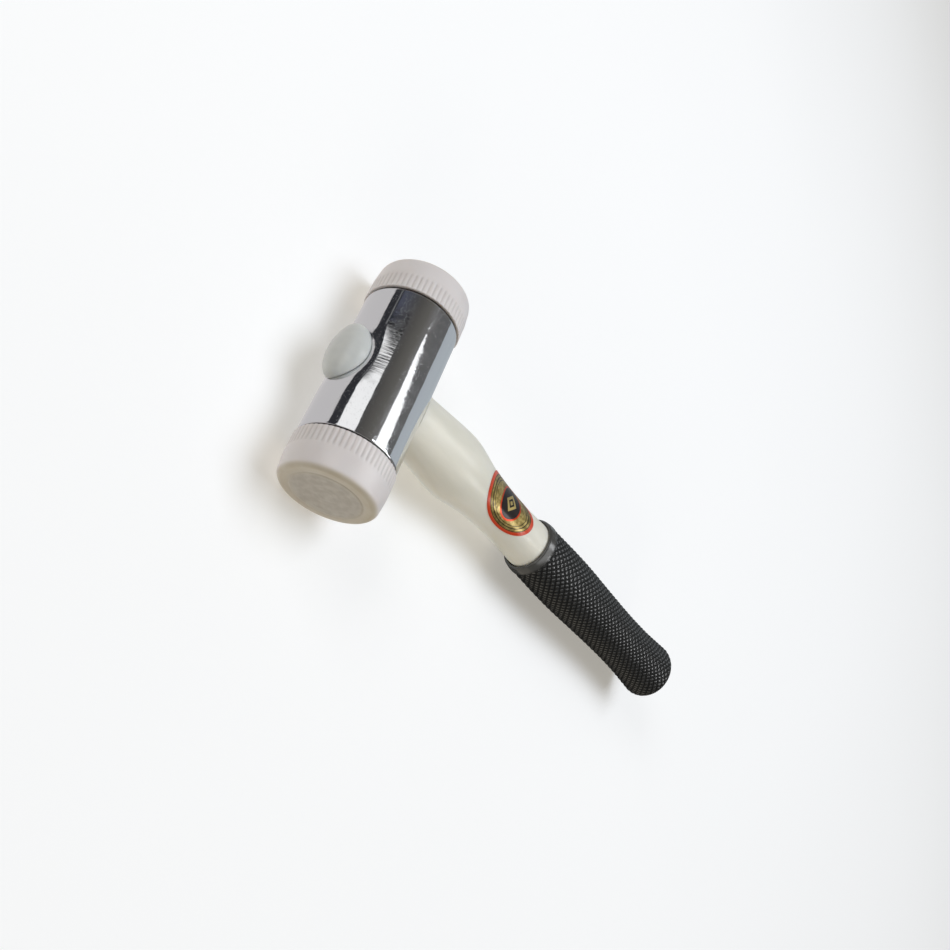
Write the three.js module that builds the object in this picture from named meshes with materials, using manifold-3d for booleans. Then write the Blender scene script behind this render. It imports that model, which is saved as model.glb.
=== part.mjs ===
// Dead blow mallet with screw-in nylon faces on a chromed tube head, and a plastic handle with a
// rubber grip.
//
// Units are millimetres. The mallet lies on its side. X runs along the head, from the left face to
// the right face, the handle points to -Y and Z is up. The origin is under the middle of the overall
// length, on the surface that the head lies on.

import * as THREE from 'three';
import { mergeVertices } from 'three/addons/utils/BufferGeometryUtils.js';
import Module from 'manifold-3d';

const wasm = await Module();
wasm.setup();

// ---------------------------------------------------------------- driving dimensions

const OVERALL_LENGTH = 295; // top of the eye plug to the end of the grip
const HEAD_LENGTH = 113.5; // over the two striking faces
const GAP = 0.2; // clearance between flat faces that meet
const BORE_GAP = 0.3; // clearance between curved faces that meet

// Head tube, about the X axis
const TUBE_RADIUS = 22.1;
const TUBE_BORE = 19;
const TUBE_END = 37.1; // half of the tube's length
const TUBE_CHAMFER = 0.5;

// Eye: the oval way through the tube for the handle. Each size is half of the oval, [x, z].
const EYE = [12.9, 8.9];
const SLEEVE_WALL = 1.3;
const TENON_GAP = 0.4;

// Shot chambers, one on each side of the eye
const CAP_POSITION = 24;
const CAP_THICKNESS = 2.5;
const SNAP_RING_THICKNESS = 1.2;
const SNAP_RING_WIDTH = 2.4;
const SNAP_RING_MOUTH = 0.35; // half of the angle left open, in radians
const GROOVE_DEPTH = 0.8;
const SHOT_TRAVEL = 4.5;

// Nylon faces
const SEAL_THICKNESS = 0.5;
const SEAL_RADIUS = 21.6;
const SKIRT_RADIUS = 22.8;
const STRIKING_RADIUS = 22;
const RIM_FILLET = 3.2;
const SKIRT_LENGTH = 8.5; // the ribbed band next to the tube
const THREAD_LENGTH = 9.3;
const CORE_RADIUS = 11;
const CORE_DEPTH = 17.5; // of the hollow in the spigot

// Eye plug
const PLUG_HALF = [14.6, 10.4];
const PLUG_BASE = 20.5;
const PLUG_ROUNDNESS = 2.4;
const PLUG_CROWN = 6.7; // height over the tube
const STEM_HALF = [7.3, 4.4];
const STEM_DEPTH = -3; // how far the stem reaches past the head's axis
const SLOT_DEPTH = -6;

// Handle: [distance from the head's axis, half width]. Its thickness is a part of its width.
const HANDLE_PROFILE = [
  [14, 13.9],
  [24, 14.7],
  [36, 15.9],
  [53, 17.4],
  [62, 16.6],
  [71, 14.8],
  [80, 13.5],
  [92, 12.6],
  [106, 12.3],
  [122, 13.0],
];
const FLATNESS_AT_HEAD = 0.82;
const FLATNESS_AT_GRIP = 0.94;
const CORE_PROFILE = [
  [123, 13.0],
  [136, 12.4],
  [252, 12.2],
  [258, 9],
];

// Rubber grip, in the same way
const GRIP_MOUTH = 122.7;
const GRIP_MOUTH_FILLET = 1;
const GRIP_BUTT = OVERALL_LENGTH - TUBE_RADIUS - PLUG_CROWN;
const GRIP_BUTT_FILLET = 6;
const GRIP_PROFILE = [
  [123.7, 15.5],
  [135, 15.8],
  [147, 16.2],
  [159, 16.4],
  [171, 16.3],
  [183, 15.9],
  [207, 15.3],
  [219, 15.2],
  [231, 15.3],
  [244, 15.8],
  [260, 17.0],
];

// Label, wrapped on the handle
const LABEL_CENTRE = 89.5; // distance from the head's axis
const LABEL_HALF = [10.9, 20]; // half across the handle, half along it
const LABEL_TURN = 4; // degrees that the label sits to the right of the handle's top line
const LABEL_LIFT = 0.15;
const LABEL_THICKNESS = 0.35;

const HEAD_SEGMENTS = 40;
const HANDLE_SEGMENTS = 32;
const PROFILE_STEPS = 16;

// ---------------------------------------------------------------- worked out

const EYE_Y = OVERALL_LENGTH / 2 - TUBE_RADIUS - PLUG_CROWN;
const SEAL_POSITION = TUBE_END + GAP;
const FACE_SEAT = SEAL_POSITION + SEAL_THICKNESS + GAP;
const FACE_END = HEAD_LENGTH / 2;
const SPIGOT_END = FACE_SEAT - THREAD_LENGTH;
const SPIGOT_RADIUS = TUBE_BORE - 0.4;
const SNAP_RING_POSITION = CAP_POSITION + CAP_THICKNESS + GAP;
const TENON = EYE.map((half) => half - TENON_GAP);
const SLEEVE_OUTER = EYE.map((half) => half + SLEEVE_WALL);

// ---------------------------------------------------------------- geometry helpers

const material = (color, roughness, metalness) =>
  new THREE.MeshStandardMaterial({ color, roughness, metalness });

// A solid of revolution about Y. The profile is [radius, y] and goes up along its outside.
function turned(profile, segments = HEAD_SEGMENTS) {
  const points = profile.map(([radius, y]) => new THREE.Vector2(radius, y));
  return new THREE.LatheGeometry(points, segments);
}

// The same about X, with the profile's second number along X.
const turnedAlongHead = (profile) => turned(profile).rotateZ(-Math.PI / 2);

// A plain oval prism along Y between two heights.
function ovalPrism([halfX, halfZ], low, high) {
  const prism = new THREE.CylinderGeometry(1, 1, high - low, HEAD_SEGMENTS);
  return prism.scale(halfX, 1, halfZ).translate(0, (low + high) / 2, 0);
}

// A plain cylinder along X that is longer than the head.
function headCylinder(radius) {
  return new THREE.CylinderGeometry(radius, radius, HEAD_LENGTH, HEAD_SEGMENTS).rotateZ(Math.PI / 2);
}

// Makes every section of a handle piece oval: its thickness in Z is a part of its width in X.
function flattened(geometry) {
  const position = geometry.getAttribute('position');
  for (let i = 0; i < position.count; i += 1) {
    const along = Math.min(-position.getY(i) / GRIP_MOUTH, 1);
    const ratio = FLATNESS_AT_HEAD + (FLATNESS_AT_GRIP - FLATNESS_AT_HEAD) * along;
    position.setZ(i, position.getZ(i) * ratio);
  }
  return geometry;
}

// A smooth handle profile through [distance, half width] stations, as [radius, y] from the far end
// up. The profile can be grown by an offset.
function smoothProfile(stations, grow = 0) {
  const curve = new THREE.SplineCurve(stations.map(([s, half]) => new THREE.Vector2(half + grow, -s)));
  return curve.getPoints(PROFILE_STEPS).reverse().map((point) => [point.x, point.y]);
}

// A quarter of a circle from one angle to another, as [radius, y] points.
function arcPoints(centreRadius, centreY, radius, from, to, count) {
  return Array.from({ length: count + 1 }, (_, i) => {
    const angle = from + ((to - from) * i) / count;
    return [centreRadius + radius * Math.cos(angle), centreY + radius * Math.sin(angle)];
  });
}

// A closed geometry as a manifold solid. Triangles that have no area at a pole are left out.
function solid(geometry) {
  const bare = new THREE.BufferGeometry();
  bare.setAttribute('position', geometry.getAttribute('position'));
  bare.setIndex(geometry.getIndex());
  const merged = mergeVertices(bare, 1e-4);
  const corners = merged.getIndex().array;
  const kept = [];
  for (let i = 0; i < corners.length; i += 3) {
    const [a, b, c] = corners.slice(i, i + 3);
    if (a !== b && b !== c && c !== a) {
      kept.push(a, b, c);
    }
  }
  const vertProperties = new Float32Array(merged.getAttribute('position').array);
  return new wasm.Manifold(new wasm.Mesh({ numProp: 3, vertProperties, triVerts: new Uint32Array(kept) }));
}

// A manifold solid as a three.js geometry.
function surface(manifold) {
  const mesh = manifold.getMesh();
  const geometry = new THREE.BufferGeometry();
  geometry.setAttribute('position', new THREE.BufferAttribute(mesh.vertProperties, 3));
  geometry.setIndex(new THREE.BufferAttribute(mesh.triVerts, 1));
  geometry.computeVertexNormals();
  return geometry;
}

function named(name, geometry, look) {
  const mesh = new THREE.Mesh(geometry, look);
  mesh.name = name;
  return mesh;
}

// ---------------------------------------------------------------- the head's tube and eye

// Steel tube, bored through, with a groove for each snap ring and an oval hole for the handle.
function headTube() {
  const groove = TUBE_BORE + GROOVE_DEPTH;
  const grooveStart = SNAP_RING_POSITION - GAP;
  const grooveEnd = SNAP_RING_POSITION + SNAP_RING_THICKNESS + GAP;
  const rightBore = [
    [TUBE_RADIUS, TUBE_END - TUBE_CHAMFER],
    [TUBE_RADIUS - TUBE_CHAMFER, TUBE_END],
    [TUBE_BORE + TUBE_CHAMFER, TUBE_END],
    [TUBE_BORE, TUBE_END - TUBE_CHAMFER],
    [TUBE_BORE, grooveEnd],
    [groove, grooveEnd],
    [groove, grooveStart],
    [TUBE_BORE, grooveStart],
  ];
  const leftBore = rightBore.map(([radius, x]) => [radius, -x]).reverse();
  const tube = solid(turnedAlongHead([...rightBore, ...leftBore, rightBore[0]]));
  return surface(tube.subtract(solid(ovalPrism(EYE, -HEAD_LENGTH / 2, HEAD_LENGTH / 2))));
}

// Oval steel sleeve that keeps the shot off the handle, fitted inside the tube.
function eyeSleeve() {
  const outside = solid(ovalPrism(SLEEVE_OUTER, -TUBE_RADIUS, TUBE_RADIUS));
  const inside = solid(ovalPrism(EYE, -HEAD_LENGTH / 2, HEAD_LENGTH / 2));
  const tubeRoom = solid(headCylinder(TUBE_BORE - BORE_GAP));
  return surface(outside.intersect(tubeRoom).subtract(inside));
}

// Domed oval cap over the eye, with a tapered stem that spreads the handle's tenon.
function eyePlug() {
  const [halfX, halfZ] = PLUG_HALF;
  const steps = 8;
  const dome = Array.from({ length: steps + 1 }, (_, i) => {
    const rise = Math.sin((i / steps) * (Math.PI / 2));
    const radius = i === steps ? 0 : Math.sqrt(1 - rise ** PLUG_ROUNDNESS);
    return [radius * halfX, PLUG_BASE + rise * (TUBE_RADIUS + PLUG_CROWN - PLUG_BASE)];
  });
  const skirt = [[0, 0], [halfX, 0]];
  const cap = solid(turned([...skirt, ...dome]).scale(1, 1, halfZ / halfX));
  const [stemX, stemZ] = STEM_HALF;
  const stemProfile = [
    [0, STEM_DEPTH],
    [stemX - 1.5, STEM_DEPTH],
    [stemX - 1, STEM_DEPTH + 2],
    [stemX, TUBE_RADIUS + 2],
    [0, TUBE_RADIUS + 2],
  ];
  const stem = solid(turned(stemProfile, HANDLE_SEGMENTS).scale(1, 1, stemZ / stemX));
  return surface(cap.subtract(solid(headCylinder(TUBE_RADIUS + GAP))).add(stem));
}

// ---------------------------------------------------------------- one side of the head

// Steel disc that closes a shot chamber.
function chamberCap() {
  const radius = TUBE_BORE - BORE_GAP;
  const end = CAP_POSITION + CAP_THICKNESS;
  return turnedAlongHead([[0, CAP_POSITION], [radius, CAP_POSITION], [radius, end], [0, end]]);
}

// Open steel ring that springs into the tube's groove and holds the chamber cap.
function snapRing() {
  const outer = TUBE_BORE + GROOVE_DEPTH - BORE_GAP;
  const inner = outer - SNAP_RING_WIDTH;
  const from = -Math.PI / 2 + SNAP_RING_MOUTH;
  const to = (3 * Math.PI) / 2 - SNAP_RING_MOUTH;
  const outline = new THREE.Shape();
  outline.absarc(0, 0, outer, from, to, false);
  outline.absarc(0, 0, inner, to, from, true);
  const ring = new THREE.ExtrudeGeometry(outline, {
    depth: SNAP_RING_THICKNESS,
    bevelEnabled: false,
    curveSegments: HEAD_SEGMENTS / 2,
  });
  return surface(solid(ring.rotateY(Math.PI / 2).translate(SNAP_RING_POSITION, 0, 0)));
}

// The steel shot of one chamber as one slug, hollowed to fit round the eye sleeve.
function shotCharge() {
  const radius = TUBE_BORE - BORE_GAP;
  const end = CAP_POSITION - BORE_GAP - SHOT_TRAVEL;
  const slug = solid(turnedAlongHead([[0, BORE_GAP], [radius, BORE_GAP], [radius, end], [0, end]]));
  const sleeveRoom = SLEEVE_OUTER.map((half) => half + BORE_GAP);
  return surface(slug.subtract(solid(ovalPrism(sleeveRoom, -TUBE_RADIUS, TUBE_RADIUS))));
}

// Rubber ring between the tube's end and the face.
function sealRing() {
  const bore = SPIGOT_RADIUS + BORE_GAP;
  const end = SEAL_POSITION + SEAL_THICKNESS;
  return turnedAlongHead([
    [SEAL_RADIUS, SEAL_POSITION],
    [SEAL_RADIUS, end],
    [bore, end],
    [bore, SEAL_POSITION],
    [SEAL_RADIUS, SEAL_POSITION],
  ]);
}

// Nylon face: hollow screw spigot, wider skirt, slightly tapered side, rounded rim, flat front.
function face() {
  const chamfer = 0.8;
  const rim = arcPoints(STRIKING_RADIUS - RIM_FILLET, FACE_END - RIM_FILLET, RIM_FILLET, 0, Math.PI / 2, 5);
  return turnedAlongHead([
    [0, SPIGOT_END + CORE_DEPTH],
    [CORE_RADIUS - 1, SPIGOT_END + CORE_DEPTH],
    [CORE_RADIUS, SPIGOT_END],
    [SPIGOT_RADIUS - chamfer, SPIGOT_END],
    [SPIGOT_RADIUS, SPIGOT_END + chamfer],
    [SPIGOT_RADIUS, FACE_SEAT],
    [SKIRT_RADIUS - chamfer / 2, FACE_SEAT],
    [SKIRT_RADIUS, FACE_SEAT + chamfer / 2],
    [SKIRT_RADIUS, FACE_SEAT + SKIRT_LENGTH],
    ...rim,
    [0, FACE_END],
  ]);
}

// ---------------------------------------------------------------- the handle and what is on it

// Plastic handle: a tenon through the eye, a shoulder that sits on the tube, a swell, a waist and a
// core for the grip. A tapered slot in the tenon takes the plug's stem.
function handle() {
  const core = CORE_PROFILE.map(([s, half]) => [half, -s]).reverse();
  const outside = [[0, core[0][1]], ...core, ...smoothProfile(HANDLE_PROFILE)];
  const blank = solid(flattened(turned([...outside, [0, -HANDLE_PROFILE[0][0]]], HANDLE_SEGMENTS)));
  const shoulder = blank.subtract(solid(headCylinder(TUBE_RADIUS + BORE_GAP)));
  const tenon = solid(ovalPrism(TENON, -TUBE_RADIUS - 4, PLUG_BASE));
  const [stemX, stemZ] = STEM_HALF;
  const slotProfile = [
    [0, SLOT_DEPTH],
    [stemX - 0.5, SLOT_DEPTH],
    [stemX + 0.4, TUBE_RADIUS],
    [0, TUBE_RADIUS],
  ];
  const slot = solid(turned(slotProfile, HANDLE_SEGMENTS).scale(1, 1, (stemZ + 0.4) / (stemX + 0.4)));
  return surface(shoulder.add(tenon).subtract(slot));
}

// Rubber grip: a sleeve with a rounded mouth, closed by a rounded butt.
function grip() {
  const [buttHalf] = GRIP_PROFILE.at(-1).slice(1);
  const fillet = GRIP_BUTT_FILLET;
  const butt = arcPoints(buttHalf - fillet, fillet - GRIP_BUTT, fillet, -Math.PI / 2, 0, 6).slice(0, -1);
  const [mouthHalf] = GRIP_PROFILE[0].slice(1);
  const roll = GRIP_MOUTH_FILLET;
  const mouth = arcPoints(mouthHalf - roll, -GRIP_MOUTH - roll, roll, 0, Math.PI / 2, 3).slice(1);
  const bore = CORE_PROFILE.map(([s, half]) => [half + BORE_GAP, -s]);
  bore[0][1] = -GRIP_MOUTH;
  const floor = -CORE_PROFILE.at(-1)[0] - 1;
  bore.push([bore.at(-1)[0], floor]);
  const profile = [[0, -GRIP_BUTT], ...butt, ...smoothProfile(GRIP_PROFILE), ...mouth, ...bore, [0, floor]];
  return flattened(turned(profile, HANDLE_SEGMENTS));
}

// Oval sticker: a thin shell over the handle inside an oval outline.
function label() {
  const shell = (grow) => {
    const side = smoothProfile(HANDLE_PROFILE, grow);
    const closed = [[0, side[0][1]], ...side, [0, side.at(-1)[1]]];
    return solid(flattened(turned(closed, HANDLE_SEGMENTS)));
  };
  const [across, along] = LABEL_HALF;
  const outline = new THREE.Shape();
  outline.absellipse(0, 0, across, along, 0, 2 * Math.PI);
  const prism = new THREE.ExtrudeGeometry(outline, { depth: 30, bevelEnabled: false, curveSegments: 20 });
  prism.rotateY(THREE.MathUtils.degToRad(LABEL_TURN)).translate(0, -LABEL_CENTRE, 0);
  const skin = shell(LABEL_LIFT + LABEL_THICKNESS).subtract(shell(LABEL_LIFT));
  return surface(skin.intersect(solid(prism)));
}

// ---------------------------------------------------------------- the mallet

const chrome = () => material(0xc8ccd0, 0.12, 1);
const plainSteel = () => material(0x8b8e92, 0.4, 1);
const darkSteel = () => material(0x55585c, 0.45, 1);
const nylon = () => material(0xd0c8c0, 0.4, 0);
const whitePlastic = () => material(0xcfcdbf, 0.35, 0);
const blackRubber = () => material(0x1e1e1d, 0.75, 0);
const foil = () => material(0xb98d4a, 0.35, 0.4);

const mallet = new THREE.Group();
mallet.position.set(0, EYE_Y, SKIRT_RADIUS);
mallet.add(
  named('head_tube', headTube(), chrome()),
  named('eye_sleeve', eyeSleeve(), plainSteel()),
  named('eye_plug', eyePlug(), whitePlastic()),
  named('handle', handle(), whitePlastic()),
  named('grip', grip(), blackRubber()),
  named('label', label(), foil()),
);

for (const side of ['left', 'right']) {
  const half = new THREE.Group();
  half.rotation.y = side === 'left' ? Math.PI : 0;
  half.add(
    named(`${side}_shot_charge`, shotCharge(), plainSteel()),
    named(`${side}_chamber_cap`, chamberCap(), plainSteel()),
    named(`${side}_snap_ring`, snapRing(), darkSteel()),
    named(`${side}_seal_ring`, sealRing(), blackRubber()),
    named(`${side}_face`, face(), nylon()),
  );
  mallet.add(half);
}

const root = new THREE.Group();
root.add(mallet);

export default root;
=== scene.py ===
"""Dead blow mallet: the visible pieces, their materials, the studio and the camera.

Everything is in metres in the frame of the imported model. The mallet lies on the floor with its head
along X and its handle towards -Y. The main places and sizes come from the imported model's nodes. MM
turns the sizes that this script adds into metres.
"""

import math

import bmesh
import bpy
import numpy as np
from mathutils import Matrix, Vector
from mathutils.bvhtree import BVHTree


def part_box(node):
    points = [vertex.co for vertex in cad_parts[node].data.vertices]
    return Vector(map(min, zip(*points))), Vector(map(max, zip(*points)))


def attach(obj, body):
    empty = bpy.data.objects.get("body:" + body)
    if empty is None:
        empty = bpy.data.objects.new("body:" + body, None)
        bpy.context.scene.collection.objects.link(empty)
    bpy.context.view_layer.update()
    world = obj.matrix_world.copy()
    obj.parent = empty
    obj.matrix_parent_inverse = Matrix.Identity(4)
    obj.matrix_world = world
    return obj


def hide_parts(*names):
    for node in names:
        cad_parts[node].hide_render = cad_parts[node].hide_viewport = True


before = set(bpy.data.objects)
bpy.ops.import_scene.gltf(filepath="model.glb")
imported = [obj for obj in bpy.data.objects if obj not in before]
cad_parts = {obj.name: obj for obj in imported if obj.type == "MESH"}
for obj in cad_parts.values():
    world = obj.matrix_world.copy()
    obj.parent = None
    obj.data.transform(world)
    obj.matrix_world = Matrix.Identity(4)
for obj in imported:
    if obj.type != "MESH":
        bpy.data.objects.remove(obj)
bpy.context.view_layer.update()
MM = 0.001
TAU = 2 * math.pi

# ------------------------------------------------------------------ measures taken from the frame

TUBE_LOW, TUBE_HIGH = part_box("head_tube")
EYE = (TUBE_LOW + TUBE_HIGH) / 2  # where the head's axis and the handle's axis cross
TUBE_RADIUS = (TUBE_HIGH.z - TUBE_LOW.z) / 2
TUBE_END = TUBE_HIGH.x
SLEEVE_LOW, SLEEVE_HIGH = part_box("eye_sleeve")
PLUG_LOW, PLUG_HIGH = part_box("eye_plug")
FACE_LOW, FACE_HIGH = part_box("right_face")
GRIP_LOW, GRIP_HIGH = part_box("grip")
LABEL_LOW, LABEL_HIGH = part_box("label")
SHOT_LOW, SHOT_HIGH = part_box("right_shot_charge")
RING_LOW, RING_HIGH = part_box("right_snap_ring")
HANDLE_LOW, HANDLE_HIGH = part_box("handle")


def radii(node):
    """Each corner's distance from the head's axis on a CAD node."""
    corners = np.array([v.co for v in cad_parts[node].data.vertices])
    return np.hypot(corners[:, 1] - EYE.y, corners[:, 2] - EYE.z)


SPIGOT_CLEARANCE = 0.4 * MM
TUBE_BORE = radii("head_tube").min()
SPIGOT_RADIUS = TUBE_BORE - SPIGOT_CLEARANCE
SKIRT_RADIUS = (FACE_HIGH.z - FACE_LOW.z) / 2
SEAL_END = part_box("right_seal_ring")[1].x

# ------------------------------------------------------------------ sizes of the fine shapes

FACE_GAP = 0.2 * MM  # between a seal ring and its face's skirt
RIBS = 60
RIB_DEPTH = 0.34 * MM
RIB_BAND = 8.5 * MM
STRIKING_RADIUS = 22.0 * MM
RIM_FILLET = 3.2 * MM
THREAD_PITCH = 3.0 * MM
THREAD_DEPTH = 0.9 * MM
SPIGOT_HOLLOW_RADIUS = 11.0 * MM
SPIGOT_HOLLOW_DEPTH = 17.5 * MM
DIMPLE_DEPTH = 1.0 * MM
DIMPLE_WIDTH = 8.5 * MM
LIP_HEIGHT = 0.35 * MM
LIP_WIDTH = 4.5 * MM
PLUG_ROUNDNESS = 2.4  # 2 is an ellipse's dome, and more is a flatter top
BRIM_GAP = 0.1 * MM
BRIM_ROLL = 0.35 * MM
EYE_CUT_INSET = 1.3 * MM  # the tube's eye is this much inside the sleeve's outside
TENON_INSET = 1.7 * MM
CORE_FOOT = HANDLE_LOW.y + 7 * MM  # the handle's smooth core starts here and ends under the tube
CORE_TOP = EYE.y - TUBE_RADIUS - 1.5 * MM
KNURL_ACROSS = 27  # diamonds round the grip
KNURL_LENGTHS = (3.25 * MM, 4.37 * MM)  # along the grip, for the two ways that the knurl twists
KNURL_HEIGHT = 0.3 * MM
TIP_SPREAD = 1.5  # above 1, the knurl's tips are flat
MOUTH_ROLL = 1.2 * MM
BUTT_FILLET = 6.0 * MM
COLLAR_LENGTH = 5.5 * MM
COLLAR_STEP = 0.25 * MM
COLLAR_CROWN = 0.7 * MM
LABEL_ARC = 13.3 * MM  # half of the label's width, measured round the handle
LABEL_TURN = math.radians(4)
SHOT_RADIUS = 2.0 * MM
SHOT_SPACING = 2.04 * SHOT_RADIUS

# ------------------------------------------------------------------ the studio

CARD_DISTANCE = 1.2
FLOOR_GLOW = 0.33
# what the room looks like round the head: (degrees from +Y over +Z, linear colour)
ROOM = [
    (-180, (0.06, 0.06, 0.06)),
    (9, (0.035, 0.035, 0.04)),
    (13, (0.085, 0.092, 0.125)),
    (44, (0.085, 0.085, 0.088)),
    (60, (0.1, 0.095, 0.088)),
    (84, (0.145, 0.138, 0.125)),
    (95, (0.19, 0.185, 0.18)),
    (112, (0.14, 0.137, 0.135)),
    (180, (0.15, 0.15, 0.152)),
]
CAMERA_AT = EYE + Vector((-211.9, 189.7, 274.4)) * MM
CAMERA_AIM = EYE + Vector((5.6, -71.4, 0.0)) * MM
CAMERA_ROLL = math.radians(84.03)
CAMERA_LENS = 34.86

# ------------------------------------------------------------------ mesh helpers


def mesh_object(name, corners, faces, sharp=math.radians(40)):
    """A smooth-shaded mesh object with its normals pointing out and sharp edges kept sharp."""
    mesh = bpy.data.meshes.new(name)
    mesh.from_pydata([tuple(c) for c in corners], [], faces)
    work = bmesh.new()
    work.from_mesh(mesh)
    bmesh.ops.recalc_face_normals(work, faces=work.faces)
    work.to_mesh(mesh)
    work.free()
    mesh.shade_smooth()
    mesh.set_sharp_from_angle(angle=sharp)
    piece = bpy.data.objects.new(name, mesh)
    bpy.context.scene.collection.objects.link(piece)
    return piece


def lofted(name, rings, loop=False, sharp=math.radians(40)):
    """A closed mesh through rings of points, an array of [ring, point, xyz].

    With loop the last ring joins the first. Otherwise, each end is closed by a fan.
    """
    count, around = rings.shape[:2]
    corners = rings.reshape(-1, 3)
    faces = []
    for i in range(count if loop else count - 1):
        low = i * around
        high = ((i + 1) % count) * around
        for j in range(around):
            k = (j + 1) % around
            faces.append((low + j, low + k, high + k, high + j))
    if not loop:
        centres = np.array([rings[0].mean(0), rings[-1].mean(0)])
        corners = np.vstack([corners, centres])
        for start, centre in ((0, len(corners) - 2), ((count - 1) * around, len(corners) - 1)):
            faces.extend((start + j, start + (j + 1) % around, centre) for j in range(around))
    return mesh_object(name, corners, faces, sharp)


def arc(centre, radius, start, end, count):
    """Points of a circle's arc as [across, along] pairs, with angles in degrees."""
    angles = np.radians(np.linspace(start, end, count))
    return [(centre[0] + radius * math.cos(a), centre[1] + radius * math.sin(a)) for a in angles]


def line(start, end, count):
    """Evenly spaced [across, along] pairs from start towards end, with the end left out."""
    share = np.linspace(0, 1, count, endpoint=False)
    return [(start[0] + (end[0] - start[0]) * t, start[1] + (end[1] - start[1]) * t) for t in share]


def smoothstep(value, low, high):
    """0 below low, 1 above high, and a smooth rise between them."""
    share = np.clip((value - low) / (high - low), 0, 1)
    return share * share * (3 - 2 * share)


def head_rings(profile, around, radius_at=None):
    """Rings about the head's axis through (radius, x) pairs. radius_at can change a ring's radii."""
    angles = np.linspace(0, TAU, around, endpoint=False)
    rings = []
    for radius, x in profile:
        ring_radii = np.full(around, radius)
        if radius_at:
            ring_radii = radius_at(ring_radii, x, angles)
        across = EYE.y + ring_radii * np.cos(angles)
        up = EYE.z + ring_radii * np.sin(angles)
        rings.append(np.stack([np.full(around, EYE.x + x), across, up], axis=1))
    return np.array(rings)


class Profile:
    """The smooth half width and half thickness of a CAD node along the handle's axis."""

    def __init__(self, node, low, high, stations):
        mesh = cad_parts[node].data
        tree = BVHTree.FromPolygons([v.co for v in mesh.vertices], [p.vertices for p in mesh.polygons])
        self.places = np.linspace(low, high, stations)
        outside = 0.1
        off_seam = 1e-6
        self.wide = []
        self.thick = []
        for y in self.places:
            side = tree.ray_cast(Vector((outside, y, EYE.z + off_seam)), Vector((-1, 0, 0)))[0]
            top = tree.ray_cast(Vector((off_seam, y, EYE.z + outside)), Vector((0, 0, -1)))[0]
            self.wide.append(side.x - EYE.x)
            self.thick.append(top.z - EYE.z)

    def at(self, y):
        """(half width, half thickness) at y, by a smooth curve through the stations."""
        return self._curve(self.wide, y), self._curve(self.thick, y)

    def _curve(self, values, y):
        values = np.array(values)
        slopes = np.gradient(values, self.places)
        i = np.clip(np.searchsorted(self.places, y) - 1, 0, len(values) - 2)
        step = self.places[i + 1] - self.places[i]
        t = (y - self.places[i]) / step
        start = values[i] * (1 + 2 * t) * (1 - t) ** 2 + slopes[i] * step * t * (1 - t) ** 2
        end = values[i + 1] * t * t * (3 - 2 * t) - slopes[i + 1] * step * t * t * (1 - t)
        return start + end


def oval_ring(half_x, half_z, y, around):
    """One ring about the handle's axis. y is a number or an array with a value for each point."""
    angles = np.linspace(0, TAU, around, endpoint=False)
    x = EYE.x + half_x * np.cos(angles)
    z = EYE.z + half_z * np.sin(angles)
    return np.stack([x, np.broadcast_to(y, x.shape), z], axis=1)


def place(piece, body, slot, material, *replaced):
    """Gives a piece its body and its material, and hides the CAD nodes that it stands for. slot is not used.
    """
    piece.data.materials.clear()
    piece.data.materials.append(material)
    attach(piece, body)
    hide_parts(*replaced)


# ------------------------------------------------------------------ materials


class Shader:
    """A material whose Principled shader is fed by procedural nodes in object coordinates."""

    def __init__(self, name, **constants):
        self.material = bpy.data.materials.new(name)
        self.material.use_nodes = True
        self.tree = self.material.node_tree
        self.surface = self.tree.nodes["Principled BSDF"]
        for socket, value in constants.items():
            self.surface.inputs[socket.replace("_", " ")].default_value = value
        self.coordinates = self.tree.nodes.new("ShaderNodeTexCoord").outputs["Object"]
        self.normal = None

    def node(self, kind, output=0, settings=None, **inputs):
        """Adds a node and returns one of its outputs. An input is a number, a colour or a socket."""
        added = self.tree.nodes.new("ShaderNode" + kind)
        for key, value in (settings or {}).items():
            setattr(added, key, value)
        for key, value in inputs.items():
            name = int(key[1:]) if key[0] == "i" and key[1:].isdigit() else key.replace("_", " ")
            self._feed(added.inputs[name], value)
        return added.outputs[output]

    def _feed(self, socket, value):
        if isinstance(value, bpy.types.NodeSocket):
            self.tree.links.new(value, socket)
        else:
            socket.default_value = value

    def set(self, socket, value):
        """Gives the Principled shader an input."""
        self._feed(self.surface.inputs[socket], value)

    def math(self, operation, first, second=0.0, third=0.0):
        settings = {"operation": operation}
        return self.node("Math", settings=settings, i0=first, i1=second, i2=third)

    def scaled(self, scale):
        """The object's coordinates, scaled along each axis."""
        return self.node("Mapping", Vector=self.coordinates, Scale=scale)

    def noise(self, size, detail, vector=None):
        """Noise whose features are about size across, in metres or in the units of the vector."""
        return self.node("TexNoise", Vector=vector or self.coordinates, Scale=1 / size, Detail=detail)

    def ramp(self, value, low, high, start=0.0, end=1.0):
        """value taken smoothly from low..high to start..end."""
        settings = {"interpolation_type": "SMOOTHSTEP"}
        sockets = {"i0": value, "i1": low, "i2": high, "i3": start, "i4": end}
        return self.node("MapRange", settings=settings, **sockets)

    def mix(self, share, first, second):
        """A colour between two colours."""
        added = self.tree.nodes.new("ShaderNodeMix")
        added.data_type = "RGBA"
        self._feed(added.inputs[0], share)
        self._feed(added.inputs[6], first)
        self._feed(added.inputs[7], second)
        return added.outputs[2]

    def bump(self, height, depth):
        """Adds relief of depth metres to the surface."""
        added = self.tree.nodes.new("ShaderNodeBump")
        added.inputs["Distance"].default_value = depth
        self._feed(added.inputs["Height"], height)
        if self.normal:
            self.tree.links.new(self.normal, added.inputs["Normal"])
        self.normal = added.outputs["Normal"]
        self.set("Normal", self.normal)

    def axis(self, index):
        """One of the object's coordinates."""
        return self.node("SeparateXYZ", output=index, Vector=self.coordinates)


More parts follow.
